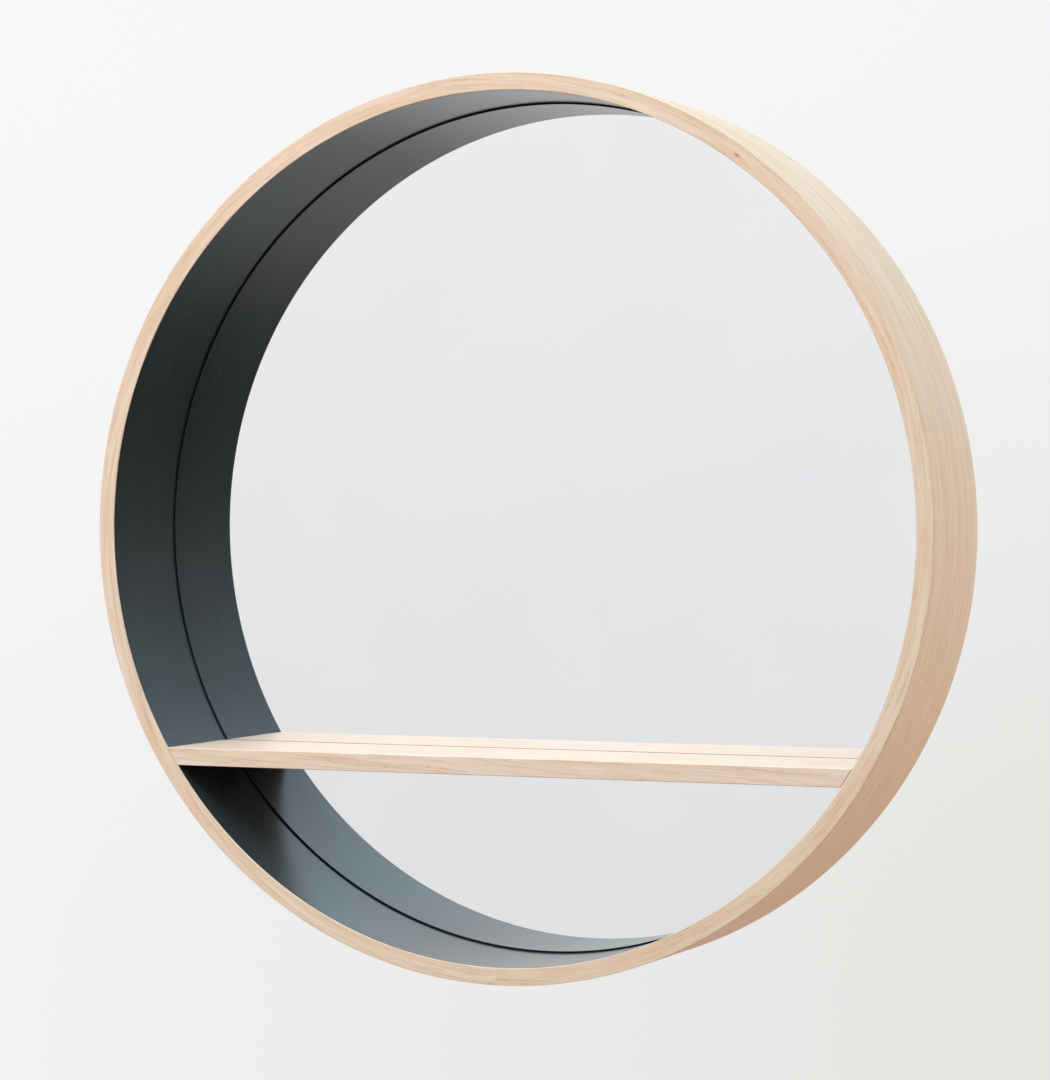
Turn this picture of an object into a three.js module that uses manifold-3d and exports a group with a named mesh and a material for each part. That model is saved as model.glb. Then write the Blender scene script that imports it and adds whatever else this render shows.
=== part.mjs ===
// Round wall mirror with a shelf: a bent wood hoop with a mirror set back inside it.
//
// Millimetres. +Z is up and the mirror faces -Y. The origin lies on the hoop's axis, in the plane of
// the wall that the hoop hangs on, so the whole object stands at y <= 0.

import * as THREE from 'three';
import { mergeVertices } from 'three/addons/utils/BufferGeometryUtils.js';
import Module from 'manifold-3d';

const wasm = await Module();
wasm.setup();

// ---------------------------------------------------------------- driving dimensions

// Hoop: outer veneer, laminated core and painted lining, glued up, with an oak band on the front edge.
const OUTER_DIAMETER = 600;
const HOOP_DEPTH = 96;
const VENEER_THICKNESS = 0.6;
const CORE_THICKNESS = 9.7;
const LINING_THICKNESS = 1.0;
const FRONT_BAND_THICKNESS = 2.0;
const FRONT_ARRIS = 0.5;
const REAR_LIP_THICKNESS = 2.3;
const SEAM_GAP = 0.3;

// Mirror, the tape that holds it and the panel that carries it.
const GLASS_THICKNESS = 3.0;
const GLASS_EDGE_GAP = 1.0;
const GLASS_ARRIS = 0.4;
const TAPE_THICKNESS = 1.0;
const TAPE_WIDTH = 25;
const TAPE_COUNT = 5;
const TAPE_EDGE_MARGIN = 40;
const PANEL_THICKNESS = 10;
const PANEL_RECESS = 0.6;
const PANEL_EDGE_GAP = 0.4;

// Shelf and the dowels in its ends.
const SHELF_THICKNESS = 12;
const SHELF_TOP_BELOW_CENTRE = 150;
const SHELF_ARRIS = 0.4;
const SHELF_END_GAP = 0.25;
const SHELF_REAR_GAP = 0.5;
const DOWEL_DIAMETER = 6;
const DOWEL_DEPTH_IN_SHELF = 25;
const DOWEL_SETBACK = 20;

// Countersunk screws: eight hold the panel, four hold the hanger plates.
const SCREW_SHANK_DIAMETER = 3.0;
const SCREW_HEAD_DIAMETER = 5.6;
const SCREW_HEAD_HEIGHT = 1.5;
const SCREW_DRIVE_LENGTH = 2.6;
const SCREW_DRIVE_WIDTH = 0.7;
const SCREW_DRIVE_DEPTH = 1.1;
const PANEL_SCREW_LENGTH = 20;
const PANEL_SCREW_SINK = 0.1;
const PANEL_SCREW_COUNT = 8;
const PANEL_SCREW_EDGE_DISTANCE = 3.8;
const HANGER_SCREW_LENGTH = 8;

// Keyhole hanger plates.
const PLATE_WIDTH = 20;
const PLATE_HEIGHT = 56;
const PLATE_THICKNESS = 1.8;
const PLATE_CORNER = 3;
const PLATE_SINK = 0.2;
const PLATE_SCREW_INSET = 6;
const KEYHOLE_ENTRY_DIAMETER = 10;
const KEYHOLE_SLOT_WIDTH = 5.2;
const KEYHOLE_TRAVEL = 13;
const POCKET_SIDE_ROOM = 1.0;
const POCKET_DEPTH = 5;
const HANGER_SPACING = 240;
const HANGER_EDGE_DISTANCE = 60;

// Clearances.
const GLUE_LINE = 0.1;
const LOOSE_FIT = 0.25;
const DRILL_CLEARANCE = 1.0;
const CUT_OVERRUN = 5;

// Facets: rings share one count and phase, so that nested rings stay parallel.
const RING_SEGMENTS = 120;
const ROUND_SEGMENTS = 16;
const CORNER_SEGMENTS = 4;

// ---------------------------------------------------------------- radii and planes that follow from them

const outerRadius = OUTER_DIAMETER / 2;
const coreOuterRadius = outerRadius - VENEER_THICKNESS - GLUE_LINE;
const coreInnerRadius = coreOuterRadius - CORE_THICKNESS;
const liningOuterRadius = coreInnerRadius - GLUE_LINE;
const innerRadius = liningOuterRadius - LINING_THICKNESS;
const rebateRadius = coreOuterRadius - REAR_LIP_THICKNESS;
const glassRadius = innerRadius - GLASS_EDGE_GAP;
const panelRadius = rebateRadius - PANEL_EDGE_GAP;

const frontPlane = -HOOP_DEPTH;
const wallPlane = 0;
const bandRear = frontPlane + FRONT_BAND_THICKNESS;
const hoopFront = bandRear + GLUE_LINE;
const panelRear = wallPlane - PANEL_RECESS;
const panelFront = panelRear - PANEL_THICKNESS;
const glassRear = panelFront - TAPE_THICKNESS;
const glassFront = glassRear - GLASS_THICKNESS;

const shelfTop = -SHELF_TOP_BELOW_CENTRE;
const shelfMiddle = shelfTop - SHELF_THICKNESS / 2;
const shelfRear = glassFront - SHELF_REAR_GAP;

const plateFloor = panelRear - PLATE_SINK - PLATE_THICKNESS;
const plateRear = plateFloor + PLATE_THICKNESS;
const plateOuterSide = HANGER_SPACING / 2 + PLATE_WIDTH / 2;
const plateTop = Math.sqrt((panelRadius - HANGER_EDGE_DISTANCE) ** 2 - plateOuterSide ** 2);
const plateMiddle = plateTop - PLATE_HEIGHT / 2;
const entryRadius = KEYHOLE_ENTRY_DIAMETER / 2;
const slotRadius = KEYHOLE_SLOT_WIDTH / 2;

// ---------------------------------------------------------------- materials

function finish(color, roughness, metalness) {
  return new THREE.MeshStandardMaterial({ color, roughness, metalness, flatShading: true });
}

const oak = finish(0xe3cbb4, 0.55, 0);
const paint = finish(0x4c585c, 0.5, 0);
const laminate = finish(0xcdb491, 0.7, 0);
const silvered = finish(0xe4e8ea, 0.03, 1);
const foam = finish(0xf2f2ee, 0.9, 0);
const board = finish(0xa88b68, 0.8, 0);
const beech = finish(0xd9b88f, 0.6, 0);
const zincPlate = finish(0xb9bcc0, 0.35, 0.9);
const yellowZinc = finish(0xc9b06a, 0.35, 0.9);

// ---------------------------------------------------------------- solids

// The closed solid of a geometry, with its shared vertices merged and its empty triangles dropped.
function solidOf(geometry) {
  const bare = geometry.clone();
  bare.deleteAttribute('normal');
  bare.deleteAttribute('uv');
  const merged = mergeVertices(bare);
  const corners = merged.index.array;
  const triVerts = [];
  for (let i = 0; i < corners.length; i += 3) {
    const [a, b, c] = [corners[i], corners[i + 1], corners[i + 2]];
    if (a !== b && b !== c && c !== a) triVerts.push(a, b, c);
  }
  return new wasm.Manifold(new wasm.Mesh({
    numProp: 3,
    vertProperties: merged.attributes.position.array,
    triVerts: Uint32Array.from(triVerts),
  }));
}

function geometryOf(solid) {
  const { vertProperties, triVerts } = solid.getMesh();
  const geometry = new THREE.BufferGeometry();
  geometry.setAttribute('position', new THREE.BufferAttribute(vertProperties, 3));
  geometry.setIndex(new THREE.BufferAttribute(triVerts, 1));
  geometry.computeVertexNormals();
  return geometry;
}

// A solid turned round the hoop's axis from [radius, y] corners, listed anticlockwise.
function turned(corners, segments = RING_SEGMENTS) {
  const profile = corners.map(([radius, y]) => new THREE.Vector2(radius, y));
  const closed = corners[0][0] === 0 ? profile : [...profile, profile[0]];
  return solidOf(new THREE.LatheGeometry(closed, segments));
}

function ring(inner, outer, front, rear) {
  return turned([[inner, front], [outer, front], [outer, rear], [inner, rear]]);
}

function disc(radius, front, rear, segments = RING_SEGMENTS) {
  return turned([[0, front], [radius, front], [radius, rear], [0, rear]], segments);
}

// A box between two corners.
function boxBetween(low, high) {
  const size = high.map((value, i) => value - low[i]);
  const middle = high.map((value, i) => (value + low[i]) / 2);
  const geometry = new THREE.BoxGeometry(...size);
  geometry.translate(...middle);
  return solidOf(geometry);
}

// A plate cut from an outline in x and z, standing from y = front to y = rear.
function plateOf(outline, front, rear, x, z) {
  const geometry = new THREE.ExtrudeGeometry(outline, {
    depth: rear - front,
    bevelEnabled: false,
    curveSegments: CORNER_SEGMENTS,
  });
  geometry.rotateX(Math.PI / 2);
  geometry.translate(x, rear, z);
  return solidOf(geometry);
}

const group = new THREE.Group();

function addPiece(name, solid, material) {
  const mesh = new THREE.Mesh(geometryOf(solid), material);
  mesh.name = name;
  group.add(mesh);
}

// ---------------------------------------------------------------- screws

// The outline of a countersunk screw from its tip up to the rim of its head, grown by a clearance.
function screwCorners(length, rear, grow) {
  const shankRadius = SCREW_SHANK_DIAMETER / 2 + grow;
  const tipLength = SCREW_SHANK_DIAMETER / 2;
  return [
    [0, rear - length],
    [shankRadius, rear - length + tipLength],
    [shankRadius, rear - SCREW_HEAD_HEIGHT],
    [SCREW_HEAD_DIAMETER / 2 + grow, rear],
  ];
}

// A screw with its head's flat face at y = rear, and a cross sunk in that face.
function screwAt(length, x, rear, z) {
  const body = turned([...screwCorners(length, rear, 0), [0, rear]], ROUND_SEGMENTS);
  const slotBetween = (halfX, halfZ) => boxBetween(
    [-halfX, rear - SCREW_DRIVE_DEPTH, -halfZ],
    [halfX, rear + CUT_OVERRUN, halfZ],
  );
  const [long, narrow] = [SCREW_DRIVE_LENGTH / 2, SCREW_DRIVE_WIDTH / 2];
  const cross = slotBetween(long, narrow).add(slotBetween(narrow, long));
  return body.subtract(cross).translate([x, 0, z]);
}

// The hole that a screw leaves: its own shape grown by the fit, open to the rear, drilled past its tip.
function screwHoleAt(length, x, rear, z) {
  const corners = screwCorners(length + DRILL_CLEARANCE, rear, LOOSE_FIT);
  const [mouthRadius] = corners.at(-1);
  const mouth = rear + CUT_OVERRUN;
  return turned([...corners, [mouthRadius, mouth], [0, mouth]], ROUND_SEGMENTS).translate([x, 0, z]);
}

const panelScrewRear = panelRear - PANEL_SCREW_SINK;
const panelScrewRadius = panelRadius - PANEL_SCREW_EDGE_DISTANCE;
const panelScrewPlaces = Array.from({ length: PANEL_SCREW_COUNT }, (_, i) => {
  const angle = (i + 0.5) * 2 * Math.PI / PANEL_SCREW_COUNT;
  return [panelScrewRadius * Math.sin(angle), panelScrewRadius * Math.cos(angle)];
});
const panelScrewHoles = wasm.Manifold.union(
  panelScrewPlaces.map(([x, z]) => screwHoleAt(PANEL_SCREW_LENGTH, x, panelScrewRear, z)),
);

// ---------------------------------------------------------------- shelf and dowels

// A round bar along x, from the middle of the object out to one side.
function barAlongX(radius, innerX, outerX, y, z) {
  const geometry = new THREE.CylinderGeometry(radius, radius, outerX - innerX, ROUND_SEGMENTS);
  geometry.rotateZ(Math.PI / 2);
  geometry.translate((innerX + outerX) / 2, y, z);
  return solidOf(geometry);
}

const shelfHalfLength = Math.sqrt((innerRadius - SHELF_END_GAP) ** 2 - shelfMiddle ** 2);
const dowelInnerEnd = shelfHalfLength - DOWEL_DEPTH_IN_SHELF;
const dowelPlaces = [['front', frontPlane + DOWEL_SETBACK], ['rear', shelfRear - DOWEL_SETBACK]];
const sides = [['left', -1], ['right', 1]];

// One bar for each dowel, from its inner end to well outside the hoop.
function dowelBars(radius, innerEnd) {
  return sides.flatMap(([side, sign]) => dowelPlaces.map(([place, y]) => {
    const ends = [sign * innerEnd, sign * outerRadius];
    const bar = barAlongX(radius, Math.min(...ends), Math.max(...ends), y, shelfMiddle);
    return { name: `shelf_dowel_${side}_${place}`, bar };
  }));
}

const dowelHoles = wasm.Manifold.union(
  dowelBars(DOWEL_DIAMETER / 2 + LOOSE_FIT, dowelInnerEnd - DRILL_CLEARANCE).map(({ bar }) => bar),
);

function addDowels() {
  const insideVeneer = disc(coreOuterRadius, frontPlane, wallPlane);
  for (const { name, bar } of dowelBars(DOWEL_DIAMETER / 2, dowelInnerEnd)) {
    addPiece(name, bar.intersect(insideVeneer), beech);
  }
}

function addShelf() {
  const a = SHELF_ARRIS;
  const section = new THREE.Shape([
    new THREE.Vector2(shelfRear, shelfTop),
    new THREE.Vector2(frontPlane + a, shelfTop),
    new THREE.Vector2(frontPlane, shelfTop - a),
    new THREE.Vector2(frontPlane, shelfTop - SHELF_THICKNESS + a),
    new THREE.Vector2(frontPlane + a, shelfTop - SHELF_THICKNESS),
    new THREE.Vector2(shelfRear, shelfTop - SHELF_THICKNESS),
  ]);
  const geometry = new THREE.ExtrudeGeometry(section, { depth: OUTER_DIAMETER, bevelEnabled: false });
  // The section's x and y become the object's y and z, and the length runs along x.
  geometry.applyMatrix4(new THREE.Matrix4().set(
    0, 0, 1, -outerRadius,
    1, 0, 0, 0,
    0, 1, 0, 0,
    0, 0, 0, 1,
  ));
  const scribed = disc(innerRadius - SHELF_END_GAP, frontPlane, wallPlane);
  addPiece('shelf_board', solidOf(geometry).intersect(scribed).subtract(dowelHoles), oak);
}

// ---------------------------------------------------------------- hoop

function addFrontBand() {
  const a = FRONT_ARRIS;
  const band = turned([
    [innerRadius + a, frontPlane],
    [outerRadius - a, frontPlane],
    [outerRadius, frontPlane + a],
    [outerRadius, bandRear],
    [innerRadius, bandRear],
    [innerRadius, frontPlane + a],
  ]);
  addPiece('hoop_front_edge_band', band, oak);
}

function addOuterVeneer() {
  const wrap = ring(coreOuterRadius + GLUE_LINE, outerRadius, hoopFront, wallPlane);
  const seam = boxBetween(
    [-SEAM_GAP / 2, frontPlane, -outerRadius - CUT_OVERRUN],
    [SEAM_GAP / 2, wallPlane + CUT_OVERRUN, -coreOuterRadius + CUT_OVERRUN],
  );
  addPiece('hoop_outer_veneer', wrap.subtract(seam), oak);
}

function addCore() {
  const core = turned([
    [coreInnerRadius, hoopFront],
    [coreOuterRadius, hoopFront],
    [coreOuterRadius, wallPlane],
    [rebateRadius, wallPlane],
    [rebateRadius, panelFront],
    [coreInnerRadius, panelFront],
  ]);
  addPiece('hoop_core', core.subtract(dowelHoles).subtract(panelScrewHoles), laminate);
}

function addLining() {
  const lining = ring(innerRadius, liningOuterRadius, hoopFront, panelFront);
  addPiece('hoop_inner_lining', lining.subtract(dowelHoles), paint);
}

// ---------------------------------------------------------------- mirror, tape and panel

function addGlass() {
  const a = GLASS_ARRIS;
  const glass = turned([
    [0, glassFront],
    [glassRadius - a, glassFront],
    [glassRadius, glassFront + a],
    [glassRadius, glassRear - a],
    [glassRadius - a, glassRear],
    [0, glassRear],
  ]);
  addPiece('mirror_glass', glass, silvered);
}

// Upright strips, evenly spaced, each as long as the glass leaves room for.
function addTapes() {
  const reach = glassRadius - TAPE_EDGE_MARGIN;
  const pitch = 2 * reach / TAPE_COUNT;
  for (let i = 0; i < TAPE_COUNT; i += 1) {
    const x = (i - (TAPE_COUNT - 1) / 2) * pitch;
    const farSide = Math.abs(x) + TAPE_WIDTH / 2;
    const halfLength = Math.sqrt(reach ** 2 - farSide ** 2);
    const strip = boxBetween(
      [x - TAPE_WIDTH / 2, glassRear, -halfLength],
      [x + TAPE_WIDTH / 2, panelFront, halfLength],
    );
    addPiece(`mirror_tape_${i + 1}`, strip, foam);
  }
}

// ---------------------------------------------------------------- hangers

// A rectangle with round corners, centred on the plate.
function roundedOutline(width, height, corner) {
  const [x, z] = [width / 2, height / 2];
  const outline = new THREE.Shape();
  outline.moveTo(x - corner, -z);
  outline.absarc(x - corner, -z + corner, corner, -Math.PI / 2, 0);
  outline.absarc(x - corner, z - corner, corner, 0, Math.PI / 2);
  outline.absarc(-x + corner, z - corner, corner, Math.PI / 2, Math.PI);
  outline.absarc(-x + corner, -z + corner, corner, Math.PI, 1.5 * Math.PI);
  return outline;
}

// Two round ends joined by straight sides, from the entry's centre up to the slot's end.
function stadium(radius) {
  const outline = new THREE.Shape();
  outline.absarc(0, KEYHOLE_TRAVEL / 2, radius, 0, Math.PI);
  outline.absarc(0, -KEYHOLE_TRAVEL / 2, radius, Math.PI, 2 * Math.PI);
  return outline;
}

function hangerAt(x) {
  const openRear = panelRear + CUT_OVERRUN;
  // The round entry is at the lower end, so that the shank of the wall screw ends up in the slot above it.
  const entry = disc(entryRadius, plateFloor - CUT_OVERRUN, openRear, ROUND_SEGMENTS)
    .translate([x, 0, plateMiddle - KEYHOLE_TRAVEL / 2]);
  const slot = plateOf(stadium(slotRadius), plateFloor - CUT_OVERRUN, openRear, x, plateMiddle);
  const screwOffset = PLATE_HEIGHT / 2 - PLATE_SCREW_INSET;
  const screwPlaces = [['top', plateMiddle + screwOffset], ['bottom', plateMiddle - screwOffset]];
  const screwHoles = wasm.Manifold.union(
    screwPlaces.map(([, z]) => screwHoleAt(HANGER_SCREW_LENGTH, x, plateRear, z)),
  );
  const blank = roundedOutline(PLATE_WIDTH, PLATE_HEIGHT, PLATE_CORNER);
  const room = 2 * LOOSE_FIT;
  const housingOutline = roundedOutline(PLATE_WIDTH + room, PLATE_HEIGHT + room, PLATE_CORNER + LOOSE_FIT);
  const housing = plateOf(housingOutline, plateFloor, openRear, x, plateMiddle);
  const pocketFloor = plateFloor - POCKET_DEPTH;
  const pocket = plateOf(stadium(entryRadius + POCKET_SIDE_ROOM), pocketFloor, openRear, x, plateMiddle);
  return {
    plate: plateOf(blank, plateFloor, plateRear, x, plateMiddle)
      .subtract(entry).subtract(slot).subtract(screwHoles),
    cutInPanel: housing.add(pocket).add(screwHoles),
    screws: screwPlaces.map(([end, z]) => [end, screwAt(HANGER_SCREW_LENGTH, x, plateRear, z)]),
  };
}

const hangers = sides.map(([side, sign]) => [side, hangerAt(sign * HANGER_SPACING / 2)]);

function addHangers() {
  for (const [side, { plate, screws }] of hangers) {
    addPiece(`hanger_plate_${side}`, plate, zincPlate);
    for (const [end, screw] of screws) addPiece(`hanger_screw_${side}_${end}`, screw, yellowZinc);
  }
}

function addPanel() {
  const cuts = wasm.Manifold.union(hangers.map(([, { cutInPanel }]) => cutInPanel));
  const panel = disc(panelRadius, panelFront, panelRear);
  addPiece('back_panel', panel.subtract(panelScrewHoles).subtract(cuts), board);
}

function addPanelScrews() {
  panelScrewPlaces.forEach(([x, z], i) => {
    addPiece(`panel_screw_${i + 1}`, screwAt(PANEL_SCREW_LENGTH, x, panelScrewRear, z), yellowZinc);
  });
}

addFrontBand();
addOuterVeneer();
addCore();
addLining();
addShelf();
addDowels();
addGlass();
addTapes();
addPanel();
addPanelScrews();
addHangers();

export default group;
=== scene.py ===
# %% [markdown]
# # A round oak mirror with a shelf
#
# The object is a deep hoop of bent wood. A round mirror is set far back inside it, and one straight
# shelf runs across its lower part. Outside and in front the wood is pale oak. The inside is sprayed
# in a matt slate blue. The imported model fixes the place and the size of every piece, so it is loaded
# first and its box is kept, to show at the end that the dressed model is no bigger.

# %% Load the fixed model
import math

import bmesh
import bpy
from mathutils import Matrix, Vector


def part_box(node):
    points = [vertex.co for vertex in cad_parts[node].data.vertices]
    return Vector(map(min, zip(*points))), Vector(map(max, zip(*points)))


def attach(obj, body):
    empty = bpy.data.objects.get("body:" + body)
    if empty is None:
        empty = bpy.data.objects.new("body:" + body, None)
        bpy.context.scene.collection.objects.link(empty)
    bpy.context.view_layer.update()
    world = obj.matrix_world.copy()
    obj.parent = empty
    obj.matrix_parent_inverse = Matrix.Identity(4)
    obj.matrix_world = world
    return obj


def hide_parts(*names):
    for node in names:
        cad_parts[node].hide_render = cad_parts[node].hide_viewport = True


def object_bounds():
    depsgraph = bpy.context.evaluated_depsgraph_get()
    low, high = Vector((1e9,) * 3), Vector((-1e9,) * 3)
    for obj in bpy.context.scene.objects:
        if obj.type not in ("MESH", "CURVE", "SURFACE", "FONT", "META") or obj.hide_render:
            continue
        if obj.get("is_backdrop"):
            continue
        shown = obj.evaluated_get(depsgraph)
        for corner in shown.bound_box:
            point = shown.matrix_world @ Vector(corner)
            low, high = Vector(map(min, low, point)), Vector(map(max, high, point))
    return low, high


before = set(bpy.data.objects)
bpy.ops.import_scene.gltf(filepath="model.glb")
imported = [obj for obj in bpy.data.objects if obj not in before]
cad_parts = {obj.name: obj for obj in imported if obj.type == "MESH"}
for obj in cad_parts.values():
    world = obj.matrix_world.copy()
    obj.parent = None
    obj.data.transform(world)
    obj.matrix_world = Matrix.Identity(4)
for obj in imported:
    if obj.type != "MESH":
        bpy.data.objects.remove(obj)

MM = 0.001
cad_low, cad_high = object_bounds()
print("nodes:", len(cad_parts), "box in mm:", [round(v / MM, 1) for v in cad_high - cad_low])

# %% [markdown]
# ## Camera
#
# The photograph was taken from well back with a long lens, from the right of the mirror and a little
# above its middle. Its numbers come from a fit to the ellipses of the rims and to the lines of the
# shelf. With square pixels one camera draws all of them within about a pixel of the photograph's. The
# frame is 1050 by 1080 pixels, so its height is the long side and carries the sensor's 36 mm.

# %% Camera at the photograph's viewing angle
FRAME_HEIGHT_PX = 1080
FOCAL_LENGTH_PX = 3472.5
SENSOR_MM = 36
CAMERA_PLACE = Vector((0.9404, -2.1759, 0.0241))
YAW = 0.41585
PITCH = -0.01353
ROLL = -0.002

forward = Vector((-math.sin(YAW) * math.cos(PITCH), math.cos(YAW) * math.cos(PITCH), math.sin(PITCH)))
level = Vector((math.cos(YAW), math.sin(YAW), 0))
upright = level.cross(forward)
right = math.cos(ROLL) * level + math.sin(ROLL) * upright
up = math.cos(ROLL) * upright - math.sin(ROLL) * level

camera = bpy.data.objects.new("camera", bpy.data.cameras.new("camera"))
camera.data.sensor_width = SENSOR_MM
camera.data.lens = FOCAL_LENGTH_PX / FRAME_HEIGHT_PX * SENSOR_MM
camera.matrix_world = Matrix.Translation(CAMERA_PLACE) @ Matrix((right, up, -forward)).transposed().to_4x4()
bpy.context.scene.collection.objects.link(camera)
bpy.context.scene.camera = camera
print("lens", round(camera.data.lens, 1), "mm")

# %% [markdown]
# ## Sizes
#
# A piece that is drawn again must lie where the fixed model has it, so its size comes from the boxes
# of its node. A box can't tell the inside of a ring, so the layers of the hoop's wall are written out
# here, from the outside in, as a maker would list them.

# %% Layers of the hoop and planes from front to back
VENEER = 0.6 * MM
GLUE_LINE = 0.1 * MM
CORE = 9.7 * MM
LINING = 1.0 * MM
REAR_LIP = 2.3 * MM

band_low, band_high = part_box("hoop_front_edge_band")
glass_low, glass_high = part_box("mirror_glass")
panel_low, panel_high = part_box("back_panel")
shelf_low, shelf_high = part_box("shelf_board")

outer_radius = band_high.x
core_outer = outer_radius - VENEER - GLUE_LINE
core_inner = core_outer - CORE
inner_radius = core_inner - GLUE_LINE - LINING
rebate_radius = core_outer - REAR_LIP

front_plane = band_low.y
hoop_front = band_high.y + GLUE_LINE
ledge_plane = panel_low.y
wall_plane = cad_high.y
print("wall of the hoop:", round((outer_radius - inner_radius) / MM, 2), "mm")

# %% [markdown]
# ## Helpers for finishes
#
# Every finish is a small tree of nodes. One function adds a node with its settings and its links, and
# one turns the hex colours of a paint chart into the linear values that a shader works in.

# %% Colours and nodes
def linear(hex_colour):
    """The linear red, green, blue and alpha of an sRGB hex colour."""
    channels = [int(hex_colour[i:i + 2], 16) / 255 for i in (0, 2, 4)]
    return [c / 12.92 if c <= 0.04045 else ((c + 0.055) / 1.055) ** 2.4 for c in channels] + [1]


def add_node(tree, kind, inputs=None, **settings):
    """Adds a node. An input is a socket to link, a hex colour or a plain value."""
    node = tree.nodes.new("ShaderNode" + kind)
    for name, value in settings.items():
        setattr(node, name, value)
    for name, value in (inputs or {}).items():
        if isinstance(value, bpy.types.NodeSocket):
            tree.links.new(value, node.inputs[name])
        else:
            node.inputs[name].default_value = linear(value) if isinstance(value, str) else value
    return node


def new_finish(name):
    """A material with an empty tree."""
    material = bpy.data.materials.new(name)
    material.use_nodes = True
    material.node_tree.nodes.clear()
    return material, material.node_tree


def close_finish(tree, **inputs):
    """Ends a tree in a principled surface. An input's name has _ for each space."""
    named = {name.replace("_", " "): value for name, value in inputs.items()}
    surface = add_node(tree, "BsdfPrincipled", named)
    add_node(tree, "OutputMaterial", {"Surface": surface.outputs["BSDF"]})


print("mid grey is", round(linear("808080")[0], 3), "in linear light")

# %% [markdown]
# ## Where the grain runs
#
# The hoop's wood was straight when it was cut and then bent, so its grain follows the arc. The first
# function rolls the arc out flat: it gives the length along the hoop, the depth towards the wall and
# the distance from the axis. Its two ends meet at the bottom, where the real veneer is butted. The
# shelf stayed straight, so its grain runs along x and needs no rolling out.

# %% Coordinates along the grain, in metres
def round_the_hoop(tree):
    place = add_node(tree, "TexCoord").outputs["Object"]
    x, y, z = add_node(tree, "SeparateXYZ", {0: place}).outputs
    turn = add_node(tree, "Math", {0: x, 1: z}, operation="ARCTAN2").outputs[0]
    length = add_node(tree, "Math", {0: turn, 1: outer_radius}, operation="MULTIPLY").outputs[0]
    flat = add_node(tree, "CombineXYZ", {"X": x, "Z": z}).outputs[0]
    radius = add_node(tree, "VectorMath", {0: flat}, operation="LENGTH").outputs["Value"]
    return add_node(tree, "CombineXYZ", {"X": length, "Y": y, "Z": radius}).outputs[0]


def along_the_shelf(tree):
    return add_node(tree, "TexCoord").outputs["Object"]


# %% [markdown]
# No tree grows quite straight. A board's grain leans a little to its edge and wanders slowly from
# side to side, and on a narrow edge that is what turns plain stripes into long slanting figures. On the
# wide face of the same board the slip is smaller, so only a share of it goes towards the wall.

# %% Grain that leans and wanders
WANDER_LENGTH = 160 * MM
FACE_SHARE = 0.35


def drifting(tree, grain, lean, wander):
    """Grain that slips sideways by a lean per length and by a slow wander in metres."""
    along = add_node(tree, "SeparateXYZ", {0: grain}).outputs["X"]
    waves = add_node(tree, "Math", {0: along, 1: WANDER_LENGTH}, operation="DIVIDE").outputs[0]
    sway = add_node(tree, "TexNoise", {"W": waves, "Scale": 1.0, "Detail": 1.0}, noise_dimensions="1D")
    slope = add_node(tree, "Math", {0: along, 1: lean}, operation="MULTIPLY").outputs[0]
    slip = add_node(
        tree, "Math", {0: sway.outputs["Fac"], 1: wander, 2: slope}, operation="MULTIPLY_ADD"
    ).outputs[0]
    less = add_node(tree, "Math", {0: slip, 1: FACE_SHARE}, operation="MULTIPLY").outputs[0]
    sideways = add_node(tree, "CombineXYZ", {"Y": less, "Z": slip}).outputs[0]
    return add_node(tree, "VectorMath", {0: grain, 1: sideways}, operation="ADD").outputs[0]


def streaks(tree, grain, length, width, detail=2.0):
    """Noise from 0 to 1, drawn out along the grain into streaks of a real length and width."""
    stretched = add_node(
        tree, "VectorMath", {0: grain, 1: (1 / length, 1 / width, 1 / width)}, operation="MULTIPLY"
    ).outputs[0]
    return add_node(tree, "TexNoise", {"Vector": stretched, "Scale": 1.0, "Detail": detail}).outputs["Fac"]


def lay_over(tree, colour, top, pattern, low, high, amount):
    """Lays a top colour over another where a pattern rises from low to high."""
    cover = add_node(
        tree,
        "MapRange",
        {"Value": pattern, "From Min": low, "From Max": high, "To Max": amount},
        interpolation_type="SMOOTHSTEP",
    ).outputs[0]
    mixed = add_node(tree, "Mix", {0: cover, 6: colour, 7: top}, data_type="RGBA")
    return mixed.outputs[2]


print("a Mix of colours takes its factor at 0 and its colours at 6 and 7, and gives its result at 2")

# %% [markdown]
# ## Oak, sanded and lacquered
#
# European oak grows a ring of about 2 mm in a year. The spring wood of each ring is full of open
# pores, which a saw cuts into short dark dashes, and the summer wood beside it is smooth and paler.
# A thin satin lacquer seals it: straight on it looks raw, and only where the eye grazes the board
# does it gleam. The look is built in the order in which it strikes the eye: broad changes of tone
# from one stretch to the next, the rings, the fine fibre, and the pores last. A pore is 0.25 mm wide,
# which is finer than a pixel of the render, so it is drawn 0.45 mm wide. The pores are also sunk a
# little, because lacquer doesn't quite fill them.

# %% Oak
TONE_LENGTH, TONE_WIDTH = 110 * MM, 6 * MM
RING_LENGTH, RING_WIDTH = 70 * MM, 2.0 * MM
FIBRE_LENGTH, FIBRE_WIDTH = 24 * MM, 0.8 * MM
PORE_LENGTH, PORE_WIDTH = 6 * MM, 0.45 * MM
PORE_DEPTH = 0.04 * MM
LACQUER_IOR = 1.5


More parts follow.
